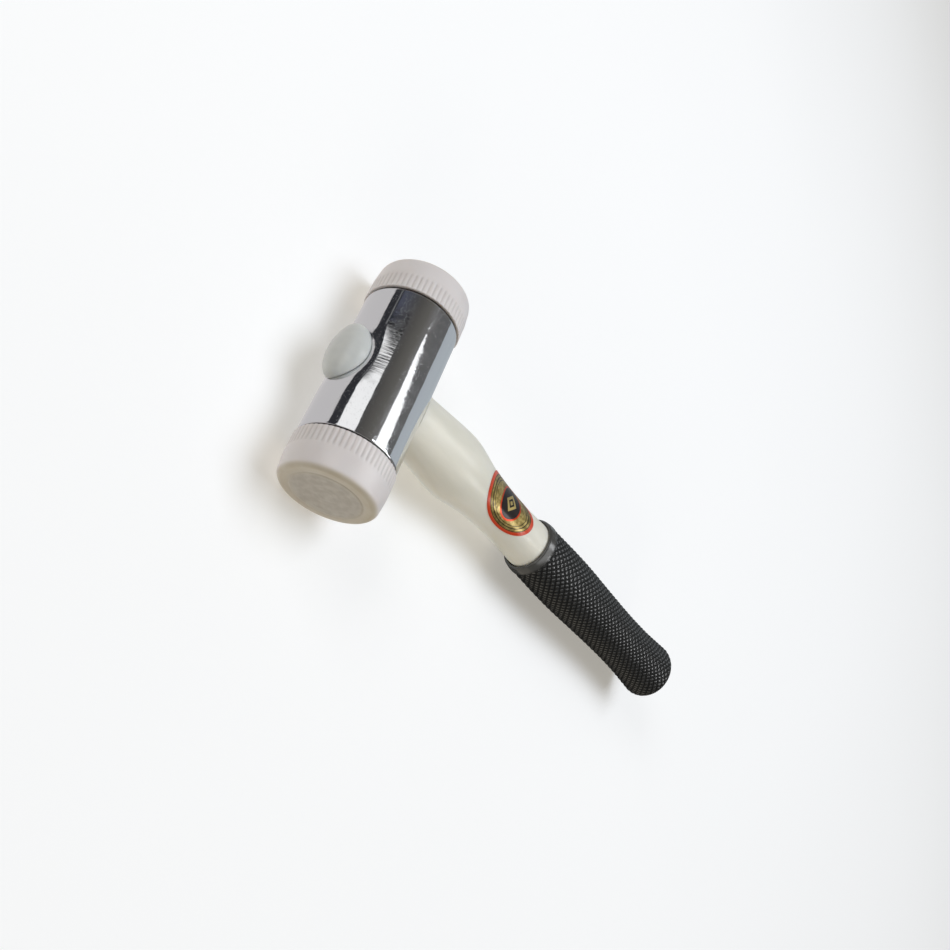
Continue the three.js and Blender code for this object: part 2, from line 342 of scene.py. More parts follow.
def colour(red, green, blue):
    """A colour from 0 to 255 as the eye sees it, as the linear colour that a shader takes."""
    def linear(value):
        share = value / 255
        return share / 12.92 if share <= 0.04045 else ((share + 0.055) / 1.055) ** 2.4
    return (linear(red), linear(green), linear(blue), 1.0)


def chrome():
    """Bright plating over a turned tube: orange peel, fine pits, and ripples round the pressed middle."""
    shader = Shader("bright_chrome", Metallic=1.0)
    tint = shader.noise(0.03, 2.0)
    shader.set("Base Color", shader.mix(tint, colour(214, 216, 220), colour(226, 227, 229)))
    haze = shader.noise(0.006, 4.0)
    shader.set("Roughness", shader.ramp(haze, 0.3, 0.75, 0.035, 0.1))
    orange_peel = 0.05 * MM
    grain = 0.0035 * MM
    pit_depth = 0.018 * MM
    ripple_depth = 0.06 * MM
    shader.bump(shader.noise(0.0065, 2.0), orange_peel)
    shader.bump(shader.noise(0.0011, 2.0), grain)
    pits = shader.node("TexVoronoi", Vector=shader.coordinates, Scale=1300.0)
    shader.bump(shader.ramp(pits, 0.0, 0.2), pit_depth)
    ripple = shader.noise(1.0, 3.0, vector=shader.scaled((750, 70, 70)))
    middle = shader.math("ABSOLUTE", shader.axis(0))
    pressed = shader.ramp(middle, 2 * MM, 13 * MM, 1.0, 0.0)
    plug_side = shader.ramp(shader.axis(1), EYE.y, EYE.y + TUBE_RADIUS / 2)
    pressed = shader.math("MULTIPLY", pressed, plug_side)
    shader.bump(shader.math("MULTIPLY", ripple, pressed), ripple_depth)
    return shader.material


def nylon():
    """Milky moulded nylon: cloudy, slightly translucent, with a turned and handled striking disc, and
    painted shade that darkens its rim and disc.
    """
    shader = Shader("milky_nylon", Subsurface_Weight=0.2, Subsurface_Scale=0.0025, IOR=1.53)
    shader.surface.inputs["Subsurface Radius"].default_value = (1.0, 0.8, 0.65)
    cloud = shader.noise(0.014, 3.0)
    body = shader.mix(cloud, colour(218, 209, 203), colour(228, 221, 215))
    from_axis = head_distance(shader)
    along = shader.math("ABSOLUTE", shader.axis(0))
    front = shader.ramp(along, FACE_HIGH.x - 2.2 * MM, FACE_HIGH.x - 0.3 * MM)
    # The rim and the striking disc are painted darker and browner than the body as shade; the disc's mottle
    # on top of it is wear.
    rim_mottle = shader.noise(0.006, 4.0)
    rim = shader.mix(shader.ramp(rim_mottle, 0.3, 0.75), colour(191, 179, 156), colour(197, 187, 167))
    middle = shader.ramp(from_axis, 13.5 * MM, 18.0 * MM, 1.0, 0.0)
    handled = shader.ramp(shader.noise(0.004, 3.0), 0.35, 0.65)
    wear_and_painted_light = shader.mix(handled, colour(171, 162, 146), colour(184, 176, 161))
    disc = shader.mix(middle, rim, wear_and_painted_light)
    paint = shader.mix(front, body, disc)
    # The skirt is painted darker in the grooves between its ribs.
    groove = shader.ramp(from_axis, SKIRT_RADIUS - RIB_DEPTH, SKIRT_RADIUS - 0.2 * RIB_DEPTH, 1.0, 0.0)
    band_end = SEAL_END + RIB_BAND
    ribbed = shader.ramp(along, band_end - 1 * MM, band_end, 1.0, 0.0)
    groove_darkening = shader.math("MULTIPLY", shader.math("MULTIPLY", groove, ribbed), 0.3)
    shader.set("Base Color", shader.mix(groove_darkening, paint, colour(176, 168, 158)))
    wear = shader.noise(0.003, 4.0)
    shader.set("Roughness", shader.ramp(wear, 0.3, 0.7, 0.29, 0.36))
    one_dimension = {"noise_dimensions": "1D"}
    rings = shader.node("TexNoise", settings=one_dimension, W=from_axis, Scale=500.0, Detail=0.0)
    turned_depth = 0.14 * MM
    uneven_depth = 0.05 * MM
    shader.bump(shader.math("MULTIPLY", rings, front), turned_depth)
    shader.bump(shader.noise(0.009, 1.0), uneven_depth)
    return shader.material


def head_distance(shader):
    """The distance from the head's axis."""
    centred = shader.node("VectorMath", settings={"operation": "SUBTRACT"}, i0=shader.coordinates, i1=EYE)
    flat = shader.node("VectorMath", settings={"operation": "MULTIPLY"}, i0=centred, i1=(0, 1, 1))
    return shader.node("VectorMath", output="Value", settings={"operation": "LENGTH"}, i0=flat)


def white_plastic(name, cool, warm):
    """Satin polypropylene with long flow marks and a slightly uneven surface."""
    shader = Shader(name, Subsurface_Weight=0.3, Subsurface_Scale=0.005, IOR=1.49)
    shader.surface.inputs["Subsurface Radius"].default_value = (1.0, 0.9, 0.7)
    flow = shader.noise(1.0, 4.0, vector=shader.scaled((160, 35, 160)))
    shader.set("Base Color", shader.mix(shader.ramp(flow, 0.3, 0.7), cool, warm))
    gloss = shader.noise(0.005, 4.0)
    shader.set("Roughness", shader.ramp(gloss, 0.3, 0.7, 0.29, 0.36))
    uneven_depth = 0.08 * MM
    shader.bump(shader.noise(0.014, 1.0), uneven_depth)
    return shader.material


def seal_rubber():
    """Matt rubber with a bloom of dust on it."""
    shader = Shader("seal_rubber", IOR=1.5)
    bloom = shader.ramp(shader.noise(0.012, 5.0), 0.35, 0.75)
    shader.set("Base Color", shader.mix(bloom, colour(21, 21, 20), colour(36, 35, 33)))
    shader.set("Roughness", shader.ramp(shader.noise(0.002, 4.0), 0.3, 0.7, 0.3, 0.4))
    return shader.material


def knurled_rubber():
    """Rubber that is worn shiny on the tips of the knurl and dull in its grooves, with painted shade in the
    grooves and a painted sheen on the collar.
    """
    shader = Shader("knurled_rubber", IOR=1.5)
    half_wide = (GRIP_HIGH.x - GRIP_LOW.x) / 2
    half_thick = (GRIP_HIGH.z - GRIP_LOW.z) / 2
    across = shader.math("DIVIDE", shader.math("SUBTRACT", shader.axis(0), EYE.x), half_wide)
    up = shader.math("DIVIDE", shader.math("SUBTRACT", shader.axis(2), EYE.z), half_thick)
    turn = shader.math("MULTIPLY", shader.math("ARCTAN2", up, across), KNURL_ACROSS / 2)
    down = shader.math("SUBTRACT", GRIP_HIGH.y, shader.axis(1))
    waves = []
    for lead in (math.pi / KNURL_LENGTHS[0], -math.pi / KNURL_LENGTHS[1]):
        phase = shader.math("MULTIPLY_ADD", down, lead, turn)
        waves.append(shader.math("ABSOLUTE", shader.math("SINE", phase)))
    tip = shader.ramp(shader.math("MINIMUM", *waves), 0.4, 0.85)
    collar = shader.ramp(shader.axis(1), GRIP_HIGH.y - COLLAR_LENGTH, GRIP_HIGH.y - 0.6 * COLLAR_LENGTH)
    butt = shader.ramp(shader.axis(1), GRIP_LOW.y, GRIP_LOW.y + 2 * MM, 1.0, 0.0)
    shiny = shader.math("MAXIMUM", tip, shader.math("MAXIMUM", collar, butt))
    # The tips, collar and butt are painted lighter than the grooves: painted shade darkens the grooves, and
    # a dust bloom mottles the lighter tone.
    bloom = shader.ramp(shader.noise(0.012, 5.0), 0.35, 0.75)
    wear_and_painted_light = shader.mix(bloom, colour(33, 33, 32), colour(44, 43, 40))
    paint = shader.mix(shiny, colour(25, 25, 24), wear_and_painted_light)
    # A painted sheen lightens the collar.
    painted_collar_sheen = shader.math("MULTIPLY", collar, 0.8)
    shader.set("Base Color", shader.mix(painted_collar_sheen, paint, colour(72, 71, 67)))
    shader.set("Roughness", shader.ramp(shiny, 0.0, 1.0, 0.5, 0.2))
    shader.set("Specular IOR Level", shader.ramp(shiny, 0.0, 1.0, 0.1, 0.9))
    return shader.material


def steel(name, dark, light, roughness, streak):
    """Steel with patchy shine and fine marks. streak is about how many marks a metre has on each axis."""
    shader = Shader(name, Metallic=1.0)
    patch = shader.noise(0.006, 4.0)
    shader.set("Base Color", shader.mix(patch, dark, light))
    shader.set("Roughness", shader.ramp(patch, 0.3, 0.7, roughness, roughness + 0.15))
    marks = shader.noise(1.0, 3.0, vector=shader.scaled(streak))
    mark_depth = 0.01 * MM
    shader.bump(marks, mark_depth)
    return shader.material


def sticker():
    """A printed foil label: a red rim, a gold field with dark lines, and a dark disc with a plain emblem.

    The label's UV coordinates are metres from its centre, round the handle and along it.
    """
    shader = Shader("foil_label", IOR=1.5, Coat_Weight=0.2, Coat_Roughness=0.15)
    uv = shader.node("TexCoord", output="UV")
    across = shader.node("SeparateXYZ", output=0, Vector=uv)
    along = shader.node("SeparateXYZ", output=1, Vector=uv)
    half_along = (LABEL_HIGH.y - LABEL_LOW.y) / 2

    def distance(first, second):
        """The distance from the origin to a pair of coordinates."""
        squares = shader.math("MULTIPLY_ADD", first, first, shader.math("MULTIPLY", second, second))
        return shader.math("SQRT", squares)

    oval = distance(shader.math("DIVIDE", across, LABEL_ARC), shader.math("DIVIDE", along, half_along))
    disc = distance(across, along)

    red = colour(198, 60, 22)
    gold = colour(128, 110, 56)
    pale_gold = colour(186, 164, 100)
    dark = colour(34, 27, 26)
    foil = shader.mix(shader.ramp(shader.noise(0.002, 3.0), 0.35, 0.7), gold, pale_gold)

    def band(value, low, high, blur):
        """1 between low and high, and 0 outside."""
        rise = shader.ramp(value, low - blur, low + blur)
        fall = shader.ramp(value, high - blur, high + blur, 1.0, 0.0)
        return shader.math("MULTIPLY", rise, fall)

    thin = 0.006
    lines = shader.math("ADD", band(oval, 0.68, 0.7, thin), band(oval, 0.76, 0.79, thin))
    paint = shader.mix(lines, foil, dark)
    paint = shader.mix(band(oval, 0.86, 0.885, thin), paint, dark)
    paint = shader.mix(shader.ramp(oval, 0.88, 0.9), paint, red)
    soft = 0.05 * MM
    ring_radius = 8.4 * MM
    disc_radius = 7.5 * MM
    paint = shader.mix(shader.ramp(disc, ring_radius - soft, ring_radius + soft, 1.0, 0.0), paint, red)
    paint = shader.mix(shader.ramp(disc, disc_radius - soft, disc_radius + soft, 1.0, 0.0), paint, dark)
    diamond = shader.math("ADD", shader.math("ABSOLUTE", across), shader.math("ABSOLUTE", along))
    paint = shader.mix(band(diamond, 2.6 * MM, 4.4 * MM, soft), paint, pale_gold)
    paint = shader.mix(shader.ramp(diamond, 1.2 * MM, 1.3 * MM, 1.0, 0.0), paint, pale_gold)
    shader.set("Base Color", paint)
    metal = shader.math("MULTIPLY", shader.ramp(oval, 0.87, 0.89, 1.0, 0.0), 0.75)
    shader.set("Metallic", metal)
    shader.set("Roughness", shader.ramp(shader.noise(0.0015, 3.0), 0.3, 0.7, 0.28, 0.42))
    foil_depth = 0.03 * MM
    shader.bump(shader.noise(0.004, 2.0), foil_depth)
    return shader.material


# ------------------------------------------------------------------ the head


def dimple(x, z):
    """How far the tube is pressed in on its plug side: in beside the plug, and out at the plug's ends."""
    half_x = PLUG_HIGH.x - EYE.x
    half_z = PLUG_HIGH.z - EYE.z
    across = x / half_x
    up = z / half_z
    reach = np.hypot(across, up)
    outside = (reach - 1) * (half_x + half_z) / 2
    tiny = 1e-9
    beside = (up / np.maximum(reach, tiny)) ** 2
    pressed_in = DIMPLE_DEPTH * beside * (1 - np.clip(outside / DIMPLE_WIDTH, 0, 1)) ** 2
    raised = LIP_HEIGHT * (1 - beside) * (1 - np.clip(outside / LIP_WIDTH, 0, 1)) ** 2
    return pressed_in - raised


def tube_surface(x, z):
    """The tube's outside on its plug side, as a distance from the head's axis along Y."""
    return np.sqrt(np.maximum(TUBE_RADIUS**2 - z**2, 0)) - dimple(x, z)


def head_tube(material):
    """The chromed tube, pressed in round the plug, with rounded ends and a snap ring groove at each side."""
    edge = 0.6 * MM
    groove = TUBE_BORE + 0.8 * MM
    ring_gap = 0.2 * MM
    groove_start = RING_LOW.x - ring_gap
    groove_end = RING_HIGH.x + ring_gap
    rows = 150
    around = 288
    right = arc((TUBE_RADIUS - edge, TUBE_END - edge), edge, 0, 90, 5)
    right += [(TUBE_BORE + edge, TUBE_END), (TUBE_BORE, TUBE_END - edge), (TUBE_BORE, groove_end)]
    right += [(groove, groove_end), (groove, groove_start), (TUBE_BORE, groove_start)]
    left = [(radius, -x) for radius, x in reversed(right)]
    outside = line((TUBE_RADIUS, edge - TUBE_END), (TUBE_RADIUS, TUBE_END - edge), rows)[1:]

    def pressed(ring_radii, x, angles):
        """Presses the outside rings in on the plug side."""
        if ring_radii[0] < TUBE_RADIUS - edge:
            return ring_radii
        on_plug_side = np.cos(angles) > 0
        return ring_radii - np.where(on_plug_side, dimple(x, ring_radii * np.sin(angles)), 0)

    tube = lofted("head_tube_plated", head_rings(right + left + outside, around, pressed), loop=True)
    half_x = (SLEEVE_HIGH.x - SLEEVE_LOW.x) / 2 - EYE_CUT_INSET
    half_z = (SLEEVE_HIGH.z - SLEEVE_LOW.z) / 2 - EYE_CUT_INSET
    ends = [oval_ring(half_x, half_z, EYE.y + side * 2 * TUBE_RADIUS, 96) for side in (-1, 1)]
    cut_away(tube, lofted("eye_cutter", np.array(ends)))
    place(tube, "head", "chrome", material, "head_tube")


def cut_away(piece, cutter):
    """Cuts one mesh out of another and removes the cutter."""
    modifier = piece.modifiers.new("cut", "BOOLEAN")
    modifier.operation = "DIFFERENCE"
    modifier.solver = "EXACT"
    modifier.object = cutter
    bpy.context.view_layer.update()
    evaluated = piece.evaluated_get(bpy.context.evaluated_depsgraph_get())
    mesh = bpy.data.meshes.new_from_object(evaluated)
    piece.modifiers.clear()
    piece.data = mesh
    piece.data.set_sharp_from_angle(angle=math.radians(40))
    bpy.data.objects.remove(cutter)


def eye_plug(material):
    """The domed cap, whose brim follows the tube, and its tapered stem."""
    half_x = PLUG_HIGH.x - EYE.x
    half_z = PLUG_HIGH.z - EYE.z
    top = PLUG_HIGH.y - EYE.y
    angles = np.linspace(0, TAU, 128, endpoint=False)

    def ring(share_x, share_z, height):
        """A ring whose height over the head's axis is a number or a function of (x, z)."""
        x = half_x * share_x * np.cos(angles)
        z = half_z * share_z * np.sin(angles)
        y = height(x, z) if callable(height) else np.full_like(x, height)
        return np.stack([EYE.x + x, EYE.y + y, EYE.z + z], axis=1)

    def over_tube(lift):
        """The height of a ring that follows the tube at a distance."""
        return lambda x, z: tube_surface(x, z) + lift

    def dome(rise):
        """The height of a ring that is a share of the way from the brim to the top."""
        return lambda x, z: (tube_surface(x, z) + BRIM_GAP + BRIM_ROLL) * (1 - rise) + top * rise

    stem_foot = PLUG_LOW.y - EYE.y
    rings = [
        ring(0.36, 0.3, stem_foot),
        ring(0.42, 0.34, stem_foot + 1.5 * MM),
        ring(0.5, 0.42, over_tube(BRIM_GAP)),
        ring(0.97, 0.97, over_tube(BRIM_GAP)),
    ]
    for share in (0.0, 0.5, 1.0):
        angle = share * math.pi / 2
        spread = 1 - BRIM_ROLL * (1 - math.sin(angle)) / half_z
        rings.append(ring(spread, spread, over_tube(BRIM_GAP + BRIM_ROLL * (1 - math.cos(angle)))))
    for rise in np.sin(np.linspace(0.06, 0.995, 22) * math.pi / 2):
        share = math.sqrt(1 - rise**PLUG_ROUNDNESS)
        rings.append(ring(share, share, dome(rise)))
    piece = lofted("eye_plug_moulded", np.array(rings))
    place(piece, "head", "white_plastic", material, "eye_plug")


# ------------------------------------------------------------------ the screw-in faces


def face(side, material):
    """A nylon face: threaded hollow spigot, ribbed skirt, tapered side, rounded rim and turned front."""
    seat = SEAL_END + FACE_GAP
    front = FACE_HIGH.x
    spigot_end = FACE_LOW.x
    band_end = seat + RIB_BAND
    band_foot = (SKIRT_RADIUS - 0.15 * MM, band_end + 1 * MM)
    around = RIBS * 8
    root = SPIGOT_RADIUS - THREAD_DEPTH
    hollow = SPIGOT_HOLLOW_RADIUS
    hollow_end = spigot_end + SPIGOT_HOLLOW_DEPTH
    edge = 0.45 * MM
    # the hollow in the spigot, from its bottom to its mouth
    profile = line((1 * MM, hollow_end), (hollow - 2.5 * MM, hollow_end), 4)
    profile += arc((hollow - 2.5 * MM, hollow_end - 1.5 * MM), 1.5 * MM, 90, 0, 4)
    profile += line((hollow - 1 * MM, hollow_end - 1.6 * MM), (hollow, spigot_end), 6)
    profile += [(hollow, spigot_end), (root - 0.6 * MM, spigot_end), (root, spigot_end + 0.5 * MM)]
    # the thread, the seat, and the ribbed skirt with its rounded edge
    profile += line((root, spigot_end + 0.6 * MM), (root, seat), 50)[1:]
    profile += [(root, seat)] + line((root + 0.3 * MM, seat), (SKIRT_RADIUS - edge, seat), 5)
    profile += arc((SKIRT_RADIUS - edge, seat + edge), edge, -90, 0, 5)
    profile += line((SKIRT_RADIUS, seat + 1.2 * edge), band_foot, 26)
    # the tapered side, the rim, and the front with one turned groove
    rim = (STRIKING_RADIUS - RIM_FILLET, front - RIM_FILLET)
    profile += line(band_foot, (STRIKING_RADIUS, rim[1]), 8)
    profile += arc(rim, RIM_FILLET, 0, 84, 12)
    profile += line((rim[0], front - 0.01 * MM), (16.4 * MM, front), 6)
    profile += [(16.2 * MM, front - 0.12 * MM), (15.8 * MM, front - 0.12 * MM), (15.6 * MM, front)]
    profile += line((15.2 * MM, front), (1 * MM, front), 10)

    def shaped(ring_radii, x, angles):
        """Adds the thread to the spigot's rings and the ribs to the skirt's."""
        radius = ring_radii[0]
        if x < seat and math.isclose(radius, root):
            turn = ((x - seat) / THREAD_PITCH + angles / TAU) % 1.0
            valley = smoothstep(np.abs(turn - 0.5), 0.14, 0.36)
            fade = smoothstep(x, spigot_end + 0.3 * MM, spigot_end + 2.5 * MM)
            fade *= 1 - smoothstep(x, seat - 1.2 * MM, seat - 0.2 * MM)
            return ring_radii + THREAD_DEPTH * (1 - valley) * fade
        if radius < SPIGOT_RADIUS + 2 * MM or x > band_end + 1 * MM:
            return ring_radii
        wave = np.abs(np.cos(angles * RIBS / 2)) ** 0.8
        fade = 1 - smoothstep(x, band_end - 2.2 * MM, band_end + 0.6 * MM)
        return ring_radii - RIB_DEPTH * (1 - wave) * fade

    rings = head_rings(profile, around, shaped)
    if side == "left":
        rings[:, :, 0] = 2 * EYE.x - rings[:, :, 0]
    piece = lofted(f"{side}_face_nylon", rings, sharp=math.radians(60))
    place(piece, f"{side}_face", "nylon", material, f"{side}_face")


# ------------------------------------------------------------------ the handle and what is on it


def handle(core, material):
    """The white handle: core, waist, swell, a shoulder that sits on the tube, and the slotted tenon."""
    around = 128
    wide, thick = core.at(CORE_FOOT)
    rings = [oval_ring(wide * share, thick * share, HANDLE_LOW.y, around) for share in (0.3, 0.72)]
    for y in np.linspace(CORE_FOOT, CORE_TOP, 110):
        rings.append(oval_ring(*core.at(y), y, around))

    def saddle(half_x, half_z, gap):
        """A ring that lies a gap under the tube."""
        ring = oval_ring(half_x, half_z, 0.0, around)
        ring[:, 1] = EYE.y - np.sqrt((TUBE_RADIUS + gap) ** 2 - (ring[:, 2] - EYE.z) ** 2)
        return ring

    wide, thick = core.at(CORE_TOP)
    shoulder_gap = 0.15 * MM
    rings.append(saddle(wide, thick, 0.5 * MM))
    rings.append(saddle(wide - 0.3 * MM, thick - 0.3 * MM, shoulder_gap))
    tenon_x = (SLEEVE_HIGH.x - SLEEVE_LOW.x) / 2 - TENON_INSET
    tenon_z = (SLEEVE_HIGH.z - SLEEVE_LOW.z) / 2 - TENON_INSET
    rings.append(saddle(tenon_x, tenon_z, shoulder_gap))
    top = HANDLE_HIGH.y
    edge = 1 * MM
    for y in np.linspace(EYE.y - TUBE_RADIUS + 4 * MM, top - edge, 8):
        rings.append(oval_ring(tenon_x, tenon_z, y, around))
    rings.append(oval_ring(tenon_x - edge, tenon_z - edge, top, around))
    slot_foot = EYE.y - 6 * MM  # the plug's stem goes into this slot
    rings.append(oval_ring(7.7 * MM, 4.8 * MM, top, around))
    rings.append(oval_ring(6.6 * MM, 4.0 * MM, slot_foot, around))
    piece = lofted("handle_moulded", np.array(rings), sharp=math.radians(35))
    place(piece, "head", "white_plastic", material, "handle")


def grip(core, material):
    """The rubber sleeve: rolled collar, diamond knurl, rounded butt, and a bore for the handle's core."""
    mouth = GRIP_HIGH.y
    butt = GRIP_LOW.y
    skin_top = mouth - MOUTH_ROLL
    skin_foot = butt + BUTT_FILLET
    shape = Profile("grip", skin_foot, skin_top, 19)
    around = KNURL_ACROSS * 12
    angles = np.linspace(0, TAU, around, endpoint=False)

    def grooves(y, share):
        """How deep the knurl is cut at one height, 0 on a tip and up to KNURL_HEIGHT in a groove."""
        turn = KNURL_ACROSS * angles / 2
        first = np.sin(turn + math.pi * (mouth - y) / KNURL_LENGTHS[0])
        second = np.sin(turn - math.pi * (mouth - y) / KNURL_LENGTHS[1])
        tip = np.minimum(np.arcsin(np.abs(first)), np.arcsin(np.abs(second))) / (math.pi / 2)
        tip = np.minimum(tip * TIP_SPREAD, 1.0)
        start = smoothstep(mouth - y, COLLAR_LENGTH, COLLAR_LENGTH + 1.5 * MM)
        return KNURL_HEIGHT * start * share * (1 - tip)

    def crown(y):
        """How much smaller the collar is at one height, so that it rounds over towards the mouth."""
        return COLLAR_CROWN * max(1 - (mouth - y) / COLLAR_LENGTH, 0) ** 2

    def skin(y, wide, thick, share=1.0):
        """A ring of the knurled outside; the CAD size is the tips of the knurl."""
        soft = 0.4 * MM
        step_in = COLLAR_STEP * smoothstep(mouth - y, COLLAR_LENGTH - soft, COLLAR_LENGTH + soft)
        inset = grooves(y, share) + step_in + crown(y)
        x = EYE.x + (wide - inset) * np.cos(angles)
        z = EYE.z + (thick - inset) * np.sin(angles)
        return np.stack([x, np.full(around, y), z], axis=1)

    def bore(y, gap):
        """A ring of the inside, a gap outside the handle's core."""
        core_wide, core_thick = core.at(y)
        return oval_ring(core_wide + gap, core_thick + gap, y, around)

    end_wide, end_thick = shape.at(skin_foot)
    squeeze = end_thick / end_wide
    floor_radius = end_wide - BUTT_FILLET
    floor = np.linspace(1 * MM, floor_radius, 26, endpoint=False)
    rings = [oval_ring(radius, radius * squeeze, butt, around) for radius in floor]
    for angle in np.radians(np.linspace(0, 90, 26)):
        y = butt + BUTT_FILLET * (1 - math.cos(angle))
        radius = floor_radius + BUTT_FILLET * math.sin(angle)
        rings.append(skin(y, radius, radius * squeeze, smoothstep(math.degrees(angle), 45, 90)))
    step = 0.26 * MM
    length = skin_top - skin_foot
    for y in skin_foot + np.linspace(0, length, int(length / step))[1:]:
        rings.append(skin(y, *shape.at(y)))
    wide, thick = shape.at(skin_top)
    wide = wide - crown(skin_top)
    thick = thick - crown(skin_top)
    core_wide, core_thick = core.at(mouth)
    roll = wide - core_wide - 0.9 * MM
    for angle in np.radians((15, 30, 45, 60, 75, 90)):
        out = roll * (1 - math.cos(angle))
        rings.append(oval_ring(wide - out, thick - out, mouth - MOUTH_ROLL * (1 - math.sin(angle)), around))
    rings.append(oval_ring(core_wide + 0.55 * MM, core_thick + 0.55 * MM, mouth - 0.2 * MM, around))
    rings += [bore(mouth - depth, 0.35 * MM) for depth in (2 * MM, 14 * MM)]
    rings += [bore(y, 0.3 * MM) for y in np.linspace(mouth - 20 * MM, CORE_FOOT, 10)]
    rings.append(oval_ring(9.5 * MM, 9 * MM, HANDLE_LOW.y - 0.8 * MM, around))
    piece = lofted("grip_knurled", np.array(rings), sharp=math.radians(75))
    place(piece, "head", "rubber", material, "grip")


def label(core, material):
    """The oval sticker, wrapped on the handle, with UV coordinates in metres from its centre."""
    centre_y = (LABEL_LOW.y + LABEL_HIGH.y) / 2
    half_along = (LABEL_HIGH.y - LABEL_LOW.y) / 2
    innermost = 0.03
    angles = np.linspace(0, TAU, 120, endpoint=False)
    places = []

    def ring(share, lift):
        """One oval on the handle. share is its size and lift is its height over the handle."""
        arc_length = LABEL_ARC * share * np.cos(angles)
        along = half_along * share * np.sin(angles)
        points = []
        for offset, step in zip(arc_length, along):
            y = centre_y + step
            wide, thick = core.at(y)
            turn = LABEL_TURN + offset / ((wide + thick) / 2)
            x = EYE.x + (wide + lift) * math.sin(turn)
            z = EYE.z + (thick + lift) * math.cos(turn)
            points.append((x, y, z))
        places.extend(zip(arc_length, along))
        return points

    rings = [ring(share, 0.2 * MM) for share in np.linspace(innermost, 1, 26)]
    rings += [ring(share, 0.05 * MM) for share in (1.0, 0.6, innermost)]
    piece = lofted("label_printed", np.array(rings))
    places += [(0.0, 0.0), (0.0, 0.0)]
    layer = piece.data.uv_layers.new(name="label")
    for loop in piece.data.loops:
        layer.data[loop.index].uv = places[loop.vertex_index]
    place(piece, "head", "label", material, "label")


def shot(side, material):
    """The loose steel balls of one chamber, packed in the space of its CAD slug."""
    radius = SHOT_RADIUS
    spacing = SHOT_SPACING
    row_step = spacing * math.sqrt(3) / 2
    layer_step = spacing * math.sqrt(2 / 3)
    reach = radii("right_shot_charge").max() - radius
    sleeve_x = SLEEVE_HIGH.x - EYE.x + radius
    sleeve_z = SLEEVE_HIGH.z - EYE.z + radius
    ball = bmesh.new()
    bmesh.ops.create_icosphere(ball, subdivisions=2, radius=radius)
    ball_corners = np.array([v.co for v in ball.verts])
    ball_faces = [[v.index for v in f.verts] for f in ball.faces]
    ball.free()
    centres = []
    layers = int((SHOT_HIGH.x - SHOT_LOW.x - 2 * radius) / layer_step) + 1
    steps = int(reach / spacing) + 2
    for layer in range(layers):
        x = SHOT_LOW.x + radius + layer * layer_step
        for row in range(-steps, steps + 1):
            z = (row + (layer % 2) / 3) * row_step
            for column in range(-steps, steps + 1):
                y = (column + (row % 2) / 2 + (layer % 2) / 2) * spacing
                inside = math.hypot(y, z) <= reach
                clear = math.hypot(x / sleeve_x, z / sleeve_z) >= 1 or x > sleeve_x
                if inside and clear:
                    centres.append((x, EYE.y + y, EYE.z + z))
    mirror = -1 if side == "left" else 1
    corners = []
    faces = []
    for x, y, z in centres:
        start = len(corners) * len(ball_corners)
        corners.append(ball_corners + (mirror * x, y, z))
        faces.extend([start + i for i in f] for f in ball_faces)
    piece = mesh_object(f"{side}_shot_balls", np.vstack(corners), faces)
    place(piece, f"{side}_shot", "shot", material, f"{side}_shot_charge")


def finish_cad_node(name, material):
    """Gives a CAD node that stays in view its material and small broken edges."""
    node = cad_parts[name]
    node.data.materials.clear()
    node.data.materials.append(material)
    for polygon in node.data.polygons:
        polygon.use_smooth = True
    bevel = node.modifiers.new("broken_edges", "BEVEL")
    bevel.width = 0.12 * MM
    bevel.segments = 2
    bevel.limit_method = "ANGLE"
    bevel.angle_limit = math.radians(50)
    bevel.harden_normals = True


# ------------------------------------------------------------------ studio and camera


def around_head(angle, distance, x):
    """A place beside the head. angle is in degrees round the head's axis, from +Y over +Z."""
    turn = math.radians(angle)
    return EYE + Vector((x, distance * math.cos(turn), distance * math.sin(turn)))


def lamp(name, lamp_at, width, height, power, tint):
    """A soft rectangular light that faces the head. It isn't mirrored in the chrome."""
    light = bpy.data.lights.new(name, "AREA")
    light.shape = "RECTANGLE"
    light.size = width
    light.size_y = height
    light.energy = power
    light.color = tint
    made = bpy.data.objects.new(name, light)
    bpy.context.scene.collection.objects.link(made)
    made.location = lamp_at
    made.rotation_euler = (lamp_at - EYE).to_track_quat("Z", "Y").to_euler()
    made.visible_glossy = False


def glow(name, tint, fade=None):
    """An emissive material. With fade, (start, end), it dims to nothing between two X places."""
    material = bpy.data.materials.new(name)
    material.use_nodes = True
    tree = material.node_tree
    tree.nodes.clear()
    material.cycles.emission_sampling = "NONE"
    emission = tree.nodes.new("ShaderNodeEmission")
    emission.inputs["Color"].default_value = (*tint, 1)
    if fade:
        coordinates = tree.nodes.new("ShaderNodeTexCoord").outputs["Object"]
        split = tree.nodes.new("ShaderNodeSeparateXYZ")
        dim = tree.nodes.new("ShaderNodeMapRange")
        for index, value in enumerate((*fade, 1.0, 0.0)):
            dim.inputs[index + 1].default_value = value
        tree.links.new(coordinates, split.inputs[0])
        tree.links.new(split.outputs[0], dim.inputs[0])
        tree.links.new(dim.outputs[0], emission.inputs["Strength"])
    out = tree.nodes.new("ShaderNodeOutputMaterial")
    tree.links.new(emission.outputs[0], out.inputs[0])
    return material


def stage_mesh(name, corners, faces, material, seen_by):
    """A piece of the stage that only the given kinds of ray can see."""
    mesh = bpy.data.meshes.new(name)
    mesh.from_pydata(corners, [], faces)
    mesh.materials.append(material)
    piece = bpy.data.objects.new(name, mesh)
    bpy.context.scene.collection.objects.link(piece)
    for ray in ("camera", "diffuse", "glossy", "transmission", "shadow"):
        setattr(piece, f"visible_{ray}", ray in seen_by)


